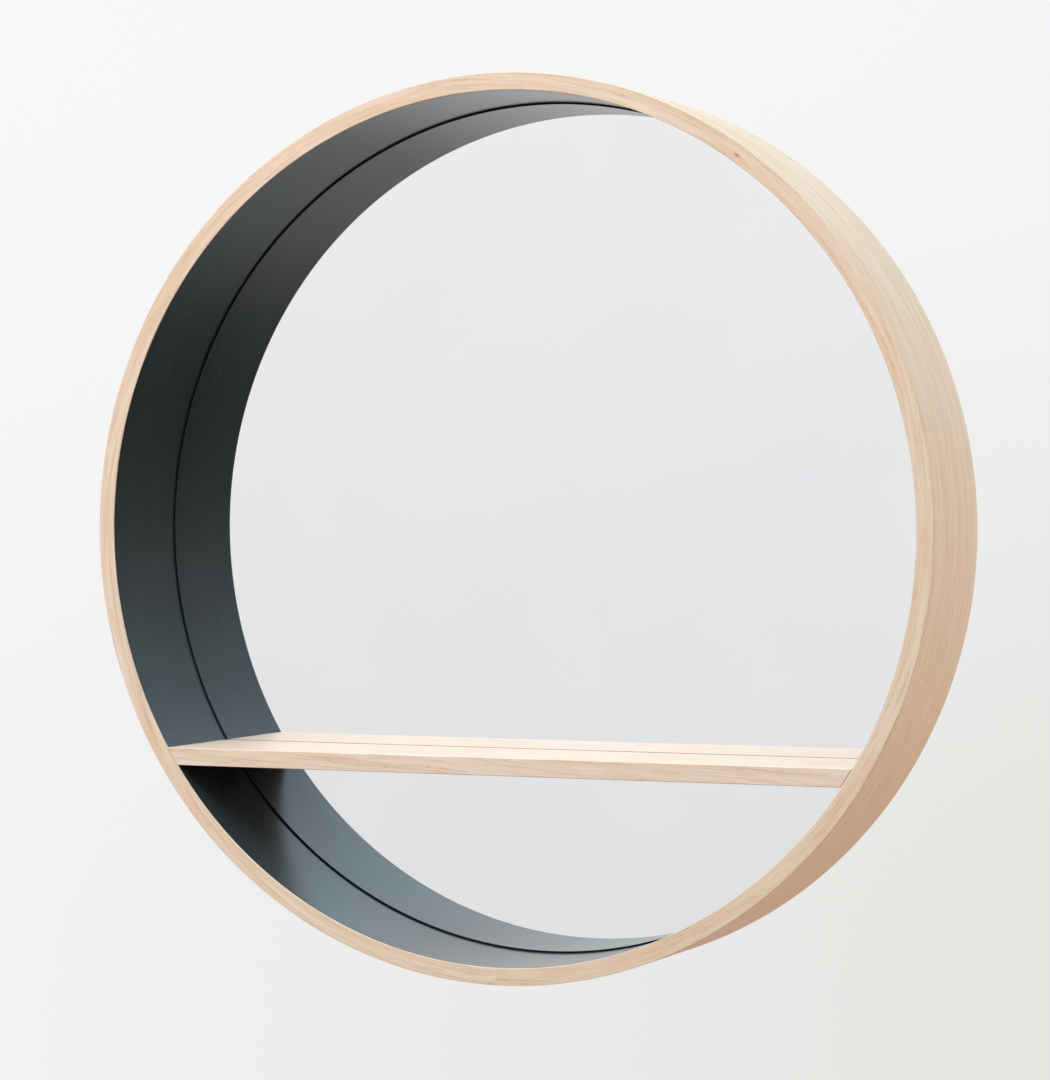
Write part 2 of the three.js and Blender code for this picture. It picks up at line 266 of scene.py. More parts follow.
def lacquered_oak(name, tones, grain_of, lean, wander, extra=None):
    """Oak in three tones from pale to dark. Grain_of gives its coordinates, extra adds to its colour."""
    material, tree = new_finish(name)
    grain = drifting(tree, grain_of(tree), lean, wander)
    tone = streaks(tree, grain, TONE_LENGTH, TONE_WIDTH)
    rings = streaks(tree, grain, RING_LENGTH, RING_WIDTH, 3)
    fibre = streaks(tree, grain, FIBRE_LENGTH, FIBRE_WIDTH)
    pores = streaks(tree, grain, PORE_LENGTH, PORE_WIDTH, 1)
    pale, warm, dark = tones
    colour = lay_over(tree, pale, warm, tone, 0.35, 0.65, 0.65)
    colour = lay_over(tree, colour, dark, rings, 0.4, 0.75, 0.4)
    colour = lay_over(tree, colour, dark, fibre, 0.4, 0.75, 0.35)
    spring_wood = add_node(tree, "Math", {0: pores, 1: rings}, operation="MULTIPLY").outputs[0]
    colour = lay_over(tree, colour, "a87b58", spring_wood, 0.3, 0.42, 0.28)
    if extra:
        colour = extra(tree, colour)
    gloss = add_node(tree, "MapRange", {"Value": fibre, "To Min": 0.3, "To Max": 0.42}).outputs[0]
    bump = add_node(
        tree, "Bump", {"Height": spring_wood, "Strength": 0.7, "Distance": PORE_DEPTH}, invert=True
    )
    close_finish(tree, Base_Color=colour, Roughness=gloss, IOR=LACQUER_IOR, Normal=bump.outputs[0])
    return material


# %% [markdown]
# One small pin knot sits in the front edge, up on the right, where a twig once grew. It is a dark oval
# with a soft brown halo, and it is drawn on the band alone. The last bit of the shelf towards the mirror
# is painted darker: painted shade at its joint with the mirror, which the mirror shows as a thin dark line.
#
# The oak comes in three cuts. The edge band is sawn, so its colour is strong and its figure leans a
# little. The shelf is a solid board, a touch paler. The veneer is sliced thin and laid straight, so its
# stripes are the calmest.

# %% Knot, painted shade at the shelf's rear edge and the three cuts of oak
KNOT_TURN = math.radians(35.4)
KNOT_RADIUS = 293.2 * MM
KNOT_LENGTH, KNOT_WIDTH = 2.1 * MM, 1.0 * MM
# Where the painted shade on the shelf's rear edge begins and where it is full, measured from the rear face.
JOINT_SHADE_BEGINS, JOINT_SHADE_IN_FULL = 0.8 * MM, 0.3 * MM
SAWN_TONES = ("efd2bb", "e9c29d", "d2a47e")
BOARD_TONES = ("f1d5c0", "ebc6a6", "d5a887")
SLICED_TONES = ("f0d6c1", "e9c8aa", "d5ad8d")


def pin_knot(tree, colour):
    """The colour with the knot laid over it."""
    to_middle = (-KNOT_TURN * outer_radius, 0, -KNOT_RADIUS)
    sizes = (1 / KNOT_LENGTH, 0, 1 / KNOT_WIDTH)
    offset = add_node(
        tree, "VectorMath", {0: round_the_hoop(tree), 1: to_middle}, operation="ADD"
    ).outputs[0]
    scaled = add_node(tree, "VectorMath", {0: offset, 1: sizes}, operation="MULTIPLY").outputs[0]
    away = add_node(tree, "VectorMath", {0: scaled}, operation="LENGTH").outputs["Value"]
    colour = lay_over(tree, colour, "c69d7a", away, 2.6, 0.9, 0.4)
    return lay_over(tree, colour, "7d5c45", away, 1.1, 0.4, 0.6)


def shelf_joint_shade(tree, colour):
    """The colour with painted shade laid over the shelf's rear edge, where it meets the mirror."""
    depth = add_node(tree, "SeparateXYZ", {0: along_the_shelf(tree)}).outputs["Y"]
    begins, in_full = shelf_high.y - JOINT_SHADE_BEGINS, shelf_high.y - JOINT_SHADE_IN_FULL
    return lay_over(tree, colour, "a08168", depth, begins, in_full, 0.8)


oak_band = lacquered_oak("lacquered_oak_edge_band", SAWN_TONES, round_the_hoop, 0.03, 6 * MM, extra=pin_knot)
oak_wrap = lacquered_oak("lacquered_oak_veneer", SLICED_TONES, round_the_hoop, 0.0, 6 * MM)
# The shelf's oak gets painted shade along its rear edge, where it meets the mirror.
oak_shelf = lacquered_oak("lacquered_oak_board", BOARD_TONES, along_the_shelf, 0.06, 4 * MM, extra=shelf_joint_shade)
print("oak finishes:", oak_band.name, oak_wrap.name, oak_shelf.name)

# %% [markdown]
# ## Slate blue paint
#
# The inside was sprayed with a silk matt furniture paint before the mirror went in. It hides the colour of
# the wood, but the grain of the lining still telegraphs through as faint long ridges, and the dried
# film has a fine peel like an orange's. The paint looks matt, because it is dark and mostly seen square
# on. But its film is smooth, and it gleams where the eye grazes it, so the top and the bottom of the
# hoop look far paler than its side.

# %% Paint
RIDGE_LENGTH, RIDGE_WIDTH = 40 * MM, 1.1 * MM
CLOUD_LENGTH, CLOUD_WIDTH = 110 * MM, 60 * MM
PEEL_SIZE = 1.6 * MM
PEEL_SHARE = 0.35
RIDGE_HEIGHT = 0.02 * MM


def slate_paint():
    material, tree = new_finish("matt_slate_paint")
    grain = round_the_hoop(tree)
    ridges = streaks(tree, grain, RIDGE_LENGTH, RIDGE_WIDTH, 3)
    clouds = streaks(tree, grain, CLOUD_LENGTH, CLOUD_WIDTH)
    peel = streaks(tree, grain, PEEL_SIZE, PEEL_SIZE, 1)
    colour = lay_over(tree, "323b3c", "384142", clouds, 0.35, 0.65, 1.0)
    colour = lay_over(tree, colour, "2b3334", ridges, 0.45, 0.7, 0.5)
    gloss = add_node(tree, "MapRange", {"Value": ridges, "To Min": 0.14, "To Max": 0.24}).outputs[0]
    relief = add_node(tree, "Math", {0: peel, 1: PEEL_SHARE, 2: ridges}, operation="MULTIPLY_ADD").outputs[0]
    bump = add_node(tree, "Bump", {"Height": relief, "Strength": 0.6, "Distance": RIDGE_HEIGHT})
    close_finish(tree, Base_Color=colour, Roughness=gloss, IOR=LACQUER_IOR, Normal=bump.outputs[0])
    return material


paint = slate_paint()

# %% [markdown]
# ## Silvered glass
#
# The mirror is 3 mm float glass with silver on its rear face. Seen through the glass, the silver lies
# a third nearer than it does. An opaque mirror stands for both: its face lies where the silver seems
# to be, 2 mm behind the face of the glass. That keeps the picture in the mirror free of noise. Silver
# gives back nearly all light and adds no colour of its own, and a trace of haze softens it here and
# there. The edge of the disc keeps its own finish, a ground edge that is dull and grey green like the
# edge of all float glass.

# %% Silver, and the ground edge of the glass
HAZE_PER_METRE = 9.0
GRIT_SIZE = 0.4 * MM
GLASS_IOR = 1.52


def silvered_glass():
    material, tree = new_finish("silvered_float_glass")
    place = add_node(tree, "TexCoord").outputs["Object"]
    breath = {"Vector": place, "Scale": HAZE_PER_METRE, "Detail": 3.0}
    haze = add_node(tree, "TexNoise", breath).outputs["Fac"]
    colour = lay_over(tree, "f5f6f6", "f3f4f5", haze, 0.3, 0.7, 1.0)
    gloss = add_node(tree, "MapRange", {"Value": haze, "To Min": 0.0, "To Max": 0.008}).outputs[0]
    close_finish(tree, Base_Color=colour, Roughness=gloss, Metallic=1.0)
    return material


def ground_edge():
    material, tree = new_finish("ground_glass_edge")
    place = add_node(tree, "TexCoord").outputs["Object"]
    grit = add_node(tree, "TexNoise", {"Vector": place, "Scale": 1 / GRIT_SIZE}).outputs["Fac"]
    colour = lay_over(tree, "5d6a67", "6f7d79", grit, 0.4, 0.6, 1.0)
    close_finish(tree, Base_Color=colour, Roughness=0.35, IOR=GLASS_IOR)
    return material


silver = silvered_glass()
glass_edge = ground_edge()

# %% [markdown]
# ## What hides behind
#
# The rear is never seen on the wall and was left as it came from the machine. Fibreboard is pressed
# from brown fibre, so it is dull and finely mottled. The sanded edges of the bent plies show a darker
# glue line between each two. The front border of the panel is the one part of it that the eye can
# reach, through the gap round the mirror, so it was blacked with the paint.

# %% Fibreboard and the edges of the plies
FIBRE_GRIT = 1.1 * MM
FIBRE_RELIEF = 0.05 * MM
PRESS_CLOUD = 55 * MM
PLY_THICKNESS = 1.4 * MM
PLY_FIGURE_LENGTH, PLY_FIGURE_WIDTH = 20 * MM, 0.5 * MM
BLACKED_FROM = 275 * MM
BLACKED_DEPTH = 0.5 * MM


def raw_fibreboard():
    material, tree = new_finish("raw_fibreboard")
    place = add_node(tree, "TexCoord").outputs["Object"]
    grit = {"Vector": place, "Scale": 1 / FIBRE_GRIT, "Detail": 4.0}
    fibre = add_node(tree, "TexNoise", grit).outputs["Fac"]
    clouds = {"Vector": place, "Scale": 1 / PRESS_CLOUD, "Detail": 3.0}
    cloud = add_node(tree, "TexNoise", clouds).outputs["Fac"]
    colour = lay_over(tree, "ad8f6b", "9f815d", cloud, 0.3, 0.7, 1.0)
    colour = lay_over(tree, colour, "775b40", fibre, 0.48, 0.72, 0.7)
    colour = lay_over(tree, colour, "c9ae8a", fibre, 0.45, 0.25, 0.6)
    radius = add_node(tree, "SeparateXYZ", {0: round_the_hoop(tree)}).outputs["Z"]
    depth = add_node(tree, "SeparateXYZ", {0: place}).outputs["Y"]
    front = add_node(
        tree, "Math", {0: depth, 1: panel_low.y + BLACKED_DEPTH}, operation="LESS_THAN"
    ).outputs[0]
    border = add_node(tree, "Math", {0: radius, 1: BLACKED_FROM}, operation="GREATER_THAN").outputs[0]
    blacked = add_node(tree, "Math", {0: front, 1: border}, operation="MULTIPLY").outputs[0]
    colour = lay_over(tree, colour, "2e3638", blacked, 0.0, 1.0, 1.0)
    bump = add_node(tree, "Bump", {"Height": fibre, "Strength": 0.5, "Distance": FIBRE_RELIEF})
    close_finish(tree, Base_Color=colour, Roughness=0.8, Normal=bump.outputs[0])
    return material


def sanded_plies():
    material, tree = new_finish("sanded_birch_plies")
    grain = round_the_hoop(tree)
    radius = add_node(tree, "SeparateXYZ", {0: grain}).outputs["Z"]
    plies = add_node(tree, "Math", {0: radius, 1: PLY_THICKNESS}, operation="DIVIDE").outputs[0]
    within = add_node(tree, "Math", {0: plies}, operation="FRACT").outputs[0]
    number = add_node(tree, "Math", {0: plies}, operation="FLOOR").outputs[0]
    tone = add_node(tree, "TexWhiteNoise", {"W": number}, noise_dimensions="1D").outputs["Value"]
    colour = lay_over(tree, "dec8a2", "c7a97c", tone, 0.0, 1.0, 1.0)
    figure = streaks(tree, grain, PLY_FIGURE_LENGTH, PLY_FIGURE_WIDTH)
    colour = lay_over(tree, colour, "a98357", figure, 0.45, 0.7, 0.45)
    colour = lay_over(tree, colour, "6f5236", within, 0.14, 0.06, 1.0)
    close_finish(tree, Base_Color=colour, Roughness=0.7)
    return material


board = raw_fibreboard()
plies = sanded_plies()

# %% [markdown]
# The small pieces need less. One function gives each of them a speckle of a real size in its colour
# and its gloss: the cells of foam tape, which make it dead matt, the flecks of beech, and the spangle
# of zinc. The hangers are plated in bright zinc, a cool soft shine. The screws are passivated on top of
# the zinc, and that film is what turns them yellow.

# %% Foam, beech and plated steel
def speckled(name, first, second, size, low_gloss, high_gloss, metallic=0.0):
    material, tree = new_finish(name)
    place = add_node(tree, "TexCoord").outputs["Object"]
    speckle = add_node(tree, "TexNoise", {"Vector": place, "Scale": 1 / size, "Detail": 3.0}).outputs["Fac"]
    colour = lay_over(tree, first, second, speckle, 0.35, 0.65, 1.0)
    gloss = add_node(
        tree,
        "MapRange",
        {"Value": speckle, "From Min": 0.35, "From Max": 0.65, "To Min": low_gloss, "To Max": high_gloss},
    ).outputs[0]
    close_finish(tree, Base_Color=colour, Roughness=gloss, Metallic=metallic)
    return material


foam = speckled("closed_cell_foam", "f2f2ec", "e6e6df", 1.2 * MM, 0.85, 0.95)
beech = speckled("turned_beech", "dcb78a", "cfa677", 2.0 * MM, 0.5, 0.65)
zinc = speckled("bright_zinc_plate", "c3c7cb", "b7bcc0", 3.0 * MM, 0.28, 0.38, metallic=1.0)
yellow_zinc = speckled("yellow_passivated_zinc", "cfb679", "bd9d5f", 1.2 * MM, 0.26, 0.4, metallic=1.0)
print("finishes:", len(bpy.data.materials))

# %% [markdown]
# ## Helpers for shapes
#
# Nearly every piece is a body of revolution, as a turner would make it, or a plate cut from a flat
# outline. Every edge that a hand touches is eased, because a perfectly sharp edge never catches the
# light the way a sanded one does. Points that come closer than three thousandths of a millimetre are
# merged, because such slivers shade badly.

# %% Outlines and solids
RING_STEPS = 360
SMALL_STEPS = 32
DOUBLED = 0.003 * MM


def eased(corners, radii, steps=4):
    """A closed outline whose corners are rounded, each by its own radius."""
    outline = []
    for i, corner in enumerate(corners):
        here = Vector(corner)
        if radii[i] == 0:
            outline.append(here)
            continue
        to_last = (Vector(corners[i - 1]) - here).normalized()
        to_next = (Vector(corners[(i + 1) % len(corners)]) - here).normalized()
        half = to_last.angle(to_next) / 2
        middle = here + (to_last + to_next).normalized() * radii[i] / math.sin(half)
        start = here + to_last * radii[i] / math.tan(half) - middle
        end = here + to_next * radii[i] / math.tan(half) - middle
        turn = math.atan2(start.cross(end), start.dot(end))
        outline += [middle + Matrix.Rotation(turn * k / steps, 2) @ start for k in range(steps + 1)]
    return outline


def cleaned(mesh):
    """The mesh with its doubled points merged and its faces turned outwards."""
    shape = bmesh.new()
    shape.from_mesh(mesh)
    bmesh.ops.remove_doubles(shape, verts=shape.verts, dist=DOUBLED)
    bmesh.ops.dissolve_degenerate(shape, edges=shape.edges, dist=DOUBLED)
    bmesh.ops.recalc_face_normals(shape, faces=shape.faces)
    shape.to_mesh(mesh)
    shape.free()
    return mesh


def solid(name, points, faces):
    """A closed mesh from its points and faces."""
    mesh = bpy.data.meshes.new(name)
    mesh.from_pydata([tuple(p) for p in points], [], faces)
    return cleaned(mesh)


def turned(name, profile, steps=RING_STEPS, gap=0.0):
    """A closed (radius, y) profile swept round the y axis, with a gap in radians at the bottom."""
    count = len(profile)
    sweep = 2 * math.pi - gap
    angles = [sweep * k / steps + gap / 2 - math.pi for k in range(steps + (gap > 0))]
    points = [(r * math.sin(a), y, r * math.cos(a)) for a in angles for r, y in profile]
    faces = []
    for k in range(steps):
        here, there = k * count, (k + 1) % len(angles) * count
        for i in range(count):
            j = (i + 1) % count
            faces.append((here + i, there + i, there + j, here + j))
    if gap:
        faces += [tuple(range(count)), tuple(range(len(points) - count, len(points)))]
    return solid(name, points, faces)


def plate(name, outline, y_low, y_high):
    """A flat (x, z) outline given a thickness in y."""
    count = len(outline)
    points = [(x, y, z) for y in (y_low, y_high) for x, z in outline]
    faces = [(i, (i + 1) % count, (i + 1) % count + count, i + count) for i in range(count)]
    return solid(name, points, faces + [tuple(range(count)), tuple(range(count, 2 * count))])


def slab_outline(x, z, width, height, corner):
    """An upright rectangle round (x, z) with its corners eased by one radius."""
    signs = [(-1, -1), (1, -1), (1, 1), (-1, 1)]
    return eased([(x + i * width / 2, z + j * height / 2) for i, j in signs], [corner] * 4, 8)


print("a ring of 300 mm radius leaves its true circle by",
      round(300 * (1 - math.cos(math.pi / RING_STEPS)), 3), "mm")

# %% [markdown]
# Holes are cut with boolean modifiers, as a machinist would plunge a cutter. The modifiers are
# applied at once, so that what is left is one clean mesh.

# %% Cutting and placing
SHARP_FROM = math.radians(40)


def shifted(mesh, x, y, z):
    mesh.transform(Matrix.Translation((x, y, z)))
    return mesh


def carved(mesh, cutters):
    """The mesh after each cutter has taken its shape out of it."""
    body = bpy.data.objects.new("body", mesh)
    tools = [bpy.data.objects.new("tool", cutter) for cutter in cutters]
    for thing in [body] + tools:
        bpy.context.scene.collection.objects.link(thing)
    for tool in tools:
        cut = body.modifiers.new("cut", "BOOLEAN")
        cut.object = tool
        cut.solver = "EXACT"
    bpy.context.view_layer.update()
    result = bpy.data.meshes.new_from_object(body.evaluated_get(bpy.context.evaluated_depsgraph_get()))
    for thing in [body] + tools:
        bpy.data.objects.remove(thing)
    return cleaned(result)


def place_piece(name, mesh, finish, nodes, place=(0, 0, 0), turn=0.0):
    """Puts a finished mesh in the scene, in the place of its nodes."""
    mesh.shade_smooth()
    mesh.set_sharp_from_angle(angle=SHARP_FROM)
    mesh.materials.clear()
    mesh.materials.append(finish)
    piece = bpy.data.objects.new(name, mesh)
    piece.location = place
    piece.rotation_euler.y = turn
    bpy.context.scene.collection.objects.link(piece)
    weighted = piece.modifiers.new("even_shading", "WEIGHTED_NORMAL")
    weighted.keep_sharp = True
    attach(piece, "root")
    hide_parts(*nodes)
    print(name, len(mesh.polygons), "faces")
    return piece


# %% [markdown]
# ## The hoop
#
# Four layers make the hoop. A core of bent plies carries the rest and has a rebate at its rear for
# the panel. Oak veneer wraps it, a painted ply lines it, and an oak band closes its front edge. The
# paint runs up the inside of the band to its eased edge, where bare oak begins in a crisp line. That
# inside edge is eased a little more than the outside one.

# %% Front band
INSIDE_ARRIS = 0.5 * MM
OUTSIDE_ARRIS = 0.3 * MM
SQUARE_ON = 0.99

band_mesh = turned("front_edge_band", eased(
    [
        (inner_radius, front_plane), (outer_radius, front_plane),
        (outer_radius, band_high.y), (inner_radius, band_high.y),
    ],
    [INSIDE_ARRIS, OUTSIDE_ARRIS, 0, 0],
))
place_piece("front_edge_band", band_mesh, oak_band, ["hoop_front_edge_band"])
band_mesh.materials.append(paint)
for face in band_mesh.polygons:
    inwards = -Vector((face.center.x, 0, face.center.z)).normalized()
    face.material_index = 1 if face.normal.dot(inwards) > SQUARE_ON else 0

# %% [markdown]
# The veneer is one long strip, so somewhere its ends must meet. They are butted at the very bottom
# with a hair's breadth between them. The strip is swept almost all the way round, and the gap is left.

# %% Outer veneer, core and lining
SEAM_WIDTH = 0.3 * MM
REAR_ARRIS = 0.3 * MM
veneer_inner = outer_radius - VENEER
lining_outer = core_inner - GLUE_LINE

veneer_mesh = turned("outer_veneer", eased(
    [
        (veneer_inner, hoop_front), (outer_radius, hoop_front),
        (outer_radius, wall_plane), (veneer_inner, wall_plane),
    ],
    [0, 0, REAR_ARRIS, 0],
), gap=SEAM_WIDTH / outer_radius)
place_piece("outer_veneer", veneer_mesh, oak_wrap, ["hoop_outer_veneer"])

core_mesh = turned("bent_core", eased(
    [
        (core_inner, hoop_front), (core_outer, hoop_front), (core_outer, wall_plane),
        (rebate_radius, wall_plane), (rebate_radius, ledge_plane), (core_inner, ledge_plane),
    ],
    [0, 0, 0, REAR_ARRIS, 0, 0],
))
place_piece("bent_core", core_mesh, plies, ["hoop_core"])

lining_mesh = turned("painted_lining", [
    (inner_radius, hoop_front), (lining_outer, hoop_front),
    (lining_outer, ledge_plane), (inner_radius, ledge_plane),
])
place_piece("painted_lining", lining_mesh, paint, ["hoop_inner_lining"])

# %% [markdown]
# ## The mirror
#
# The disc is cut a millimetre smaller than the hoop all round, so that it can go in from behind. That
# gap is the thin dark line half way down the painted wall: in front of it the eye sees the wall
# itself, and behind it the wall's reflection.

# %% Mirror disc
SILVER_SEEMS_BEHIND = 1.95 * MM
GLASS_ARRIS = 0.15 * MM

glass_radius = glass_high.x
silver_plane = glass_low.y + SILVER_SEEMS_BEHIND
disc_mesh = turned("mirror_disc", [
    (0, silver_plane), (glass_radius - GLASS_ARRIS, silver_plane), (glass_radius, silver_plane + GLASS_ARRIS),
    (glass_radius, glass_high.y), (0, glass_high.y),
])
place_piece("mirror_disc", disc_mesh, silver, ["mirror_glass"])
disc_mesh.materials.append(glass_edge)
for face in disc_mesh.polygons:
    face.material_index = 0 if -face.normal.y > SQUARE_ON else 1

# %% [markdown]
# ## The shelf
#
# One straight oak board. Its ends are scribed to the round wall, so at every height they stop at the
# same circle. The board starts as its section, front to back. Each point of the section is drawn out
# from wall to wall at its own height, and the two ends are closed by strips between the front and the
# rear half of the section, which mirror each other.

# %% Shelf board
SHELF_ARRIS = 0.5 * MM
SHELF_END_GAP = 0.25 * MM
scribe_radius = inner_radius - SHELF_END_GAP

section = eased(
    [
        (shelf_low.y, shelf_low.z), (shelf_low.y, shelf_high.z),
        (shelf_high.y, shelf_high.z), (shelf_high.y, shelf_low.z),
    ],
    [SHELF_ARRIS] * 4,
)
count = len(section)
points = [(side * math.sqrt(scribe_radius ** 2 - z ** 2), y, z) for side in (-1, 1) for y, z in section]
faces = [(i, (i + 1) % count, (i + 1) % count + count, i + count) for i in range(count)]
for end in (0, count):
    faces += [(end + i, end + i + 1, end + count - 2 - i, end + count - 1 - i) for i in range(count // 2 - 1)]
place_piece("oak_shelf", solid("oak_shelf", points, faces), oak_shelf, ["shelf_board"])

# %% [markdown]
# ## Panel, hangers and screws
#
# A fibreboard disc closes the rear. It carries the mirror on foam tape and is screwed to the ledge of
# the core with countersunk screws. Two steel keyhole plates are let into it, with a pocket behind
# each for the head of the wall screw. The places of the screws and plates are read from their nodes.

# %% Countersunk screws
SHANK_RADIUS = 1.5 * MM
HEAD_HEIGHT = 1.5 * MM
POINT_LENGTH = 3 * MM
CROSS_LENGTH, CROSS_WIDTH, CROSS_DEPTH = 2.6 * MM, 0.7 * MM, 1.1 * MM
CROSS_TAPER = 0.45
HEAD_EDGE = 0.12 * MM
TURN_BETWEEN_SCREWS = math.radians(37)


def seat_of(node):
    """The middle of a screw's head, the head's radius and the screw's length."""
    low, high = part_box(node)
    return Vector(((low.x + high.x) / 2, high.y, (low.z + high.z) / 2)), (high.x - low.x) / 2, high.y - low.y


def cross_cutter(turn):
    """One bar of the cross, narrowing towards its bottom."""
    half_length, half_width = CROSS_LENGTH / 2, CROSS_WIDTH / 2
    corners = ((-1, -1), (1, -1), (1, 1), (-1, 1))
    points = []
    for y, share in ((HEAD_EDGE, 1.0), (-CROSS_DEPTH, CROSS_TAPER)):
        points += [(i * half_length * share, y, j * half_width) for i, j in corners]
    faces = [(0, 1, 2, 3), (4, 5, 6, 7)] + [(i, (i + 1) % 4, (i + 1) % 4 + 4, i + 4) for i in range(4)]
    mesh = solid("cross", points, faces)
    mesh.transform(Matrix.Rotation(turn, 4, "Y"))
    return mesh


def screw_mesh(head_radius, length):
    profile = [
        (0, 0), (head_radius - HEAD_EDGE, 0), (head_radius, -HEAD_EDGE), (head_radius, -2 * HEAD_EDGE),
        (SHANK_RADIUS, -HEAD_HEIGHT), (SHANK_RADIUS, POINT_LENGTH - length), (0, -length),
    ]
    return carved(turned("screw", profile, SMALL_STEPS), [cross_cutter(0), cross_cutter(math.pi / 2)])


screws = sorted(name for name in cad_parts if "_screw_" in name)
for number, node in enumerate(screws):
    middle, head_radius, length = seat_of(node)
    piece_name = "steel_" + node
    place_piece(
        piece_name, screw_mesh(head_radius, length), yellow_zinc, [node],
        middle, number * TURN_BETWEEN_SCREWS,
    )

# %% [markdown]
# A keyhole plate is stamped from 1.8 mm steel: a round entry for the head of the wall screw, and a
# narrower slot above it, which drops over the shank and holds the mirror up. Its square edges are
# rounded a little, and the countersinks are left as they were cut.

# %% Keyhole plates
PLATE_CORNER = 3 * MM
ENTRY_RADIUS = 5 * MM
SLOT_WIDTH = 5.2 * MM
KEYHOLE_TRAVEL = 13 * MM
PLATE_EDGE = 0.2 * MM
STAMPED_FROM = math.radians(60)
SINK_ROOM = 0.1 * MM
OVERRUN = 1 * MM


def countersink(seat, clearance, depth):
    """A cutter for a screw that stands in its seat, down to a depth below the head."""
    middle, head_radius, length = seat
    mouth = head_radius + clearance
    profile = [
        (0, OVERRUN), (mouth, OVERRUN), (mouth, -2 * HEAD_EDGE),
        (SHANK_RADIUS + clearance, -HEAD_HEIGHT), (SHANK_RADIUS + clearance, -depth), (0, -depth),
    ]
    return shifted(turned("countersink", profile, SMALL_STEPS), *middle)


plates = {}
for side in ("left", "right"):
    node = "hanger_plate_" + side
    low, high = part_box(node)
    middle = (low + high) / 2
    plates[node] = (low, high, middle)
    entry_z = middle.z - KEYHOLE_TRAVEL / 2
    cut_low, cut_high = low.y - OVERRUN, high.y + OVERRUN
    entry = slab_outline(middle.x, entry_z, 2 * ENTRY_RADIUS, 2 * ENTRY_RADIUS, ENTRY_RADIUS)
    slot = slab_outline(middle.x, middle.z, SLOT_WIDTH, KEYHOLE_TRAVEL + SLOT_WIDTH, SLOT_WIDTH / 2)
    cutters = [plate("entry", entry, cut_low, cut_high), plate("slot", slot, cut_low, cut_high)]
    for end in ("top", "bottom"):
        seat = seat_of(f"hanger_screw_{side}_{end}")
        cutters.append(countersink(seat, SINK_ROOM, high.y - cut_low))
    size = high - low
    outline = slab_outline(middle.x, middle.z, size.x, size.z, PLATE_CORNER)
    piece = place_piece(
        "keyhole_plate_" + side, carved(plate("keyhole_plate", outline, low.y, high.y), cutters),
        zinc, [node],
    )
    rounded = piece.modifiers.new("stamped_edge", "BEVEL")
    rounded.width = PLATE_EDGE
    rounded.segments = 2
    rounded.limit_method = "ANGLE"
    rounded.angle_limit = STAMPED_FROM
    piece.modifiers.move(1, 0)

# %% [markdown]
# The panel is turned as a plain disc and then machined from the rear: a shallow housing for each
# plate, a deeper pocket under each keyhole, and a countersunk hole for each screw.

# %% Back panel
PANEL_ARRIS = 0.3 * MM
HOUSING_ROOM = 0.25 * MM
POCKET_RADIUS = 6 * MM
POCKET_DEPTH = 5 * MM
HOLE_ROOM = 0.15 * MM

panel_radius = panel_high.x
disc = turned("back_board", eased(
    [(0, panel_low.y), (panel_radius, panel_low.y), (panel_radius, panel_high.y), (0, panel_high.y)],
    [0, PANEL_ARRIS, PANEL_ARRIS, 0],
))
cutters = []
for low, high, middle in plates.values():
    size = high - low
    housing = slab_outline(
        middle.x, middle.z, size.x + 2 * HOUSING_ROOM, size.z + 2 * HOUSING_ROOM, PLATE_CORNER + HOUSING_ROOM
    )
    pocket = slab_outline(
        middle.x, middle.z, 2 * POCKET_RADIUS, KEYHOLE_TRAVEL + 2 * POCKET_RADIUS, POCKET_RADIUS
    )
    cutters.append(plate("housing", housing, low.y, panel_high.y + OVERRUN))
    cutters.append(plate("pocket", pocket, low.y - POCKET_DEPTH, panel_high.y + OVERRUN))
for node in screws:
    seat = seat_of(node)
    cutters.append(countersink(seat, HOLE_ROOM, seat[2] + OVERRUN))
place_piece("back_board", carved(disc, cutters), board, ["back_panel"])

# %% [markdown]
# The dowels and the strips of foam tape lie between other pieces, so their plain shapes from the
# fixed model stay, and only get their finish.

# %% Finish of the pieces that stay
stay = {"mirror_tape": foam, "shelf_dowel": beech}
for name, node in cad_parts.items():
    for start, finish in stay.items():
        if name.startswith(start):
            node.data.materials.clear()
            node.data.materials.append(finish)
            print(name, "is", finish.name)

# %% [markdown]
# ## Studio
#
# The object hangs in a pale room, about eye height above a pale floor. The room is a world whose light
# depends on the direction alone. It has a bright cool ceiling, a warm wall behind the mirror that glows
# on its right, a dim floor, a dark corner on the right of the camera and one pale panel on its left.
# Its tones come from a fit of the light to the photograph's colours, and a few were then changed. The
# mirror shows the panel. The dark corner is what makes the left wall of the hoop so dark, because the
# wall and the mirror together throw each glance back to where it came from. A direction is a unit
# vector, and each of its parts runs from -1 to 1. Straight out from the mirror is azimuth 0, and the
# right side is positive.

# %% Tones of the room
SKY_STRENGTH = 2.8
HEIGHT_TONES = [
    (-1.0, "282424"), (-0.5, "797b7d"), (0.0, "6a6662"), (0.35, "6c777e"), (0.7, "a0c1d2"), (1.0, "b5eeff"),
]
WALL_TONES = [(-0.6, "6d6b67"), (0.0, "8b7767"), (0.5, "b7a390"), (1.0, "d2c1b0")]
PANEL_TONES = [(-0.15, "929293"), (0.15, "9d9d9e")]
CEILING_TONE = "ccd9e1"
CORNER_TONE = "0c0c0c"


def tone_ramp(tree, part, tones):
    """Tones along one part of a direction."""
    share = add_node(tree, "MapRange", {"Value": part, "From Min": -1.0, "From Max": 1.0}).outputs[0]
    ramp = add_node(tree, "ValToRGB", {"Fac": share})
    stops = ramp.color_ramp.elements
    stops.remove(stops[-1])
    for place, tone in tones:
        stop = stops.new((place + 1) / 2)
        stop.color = linear(tone)
    stops.remove(stops[0])
    return ramp.outputs["Color"]


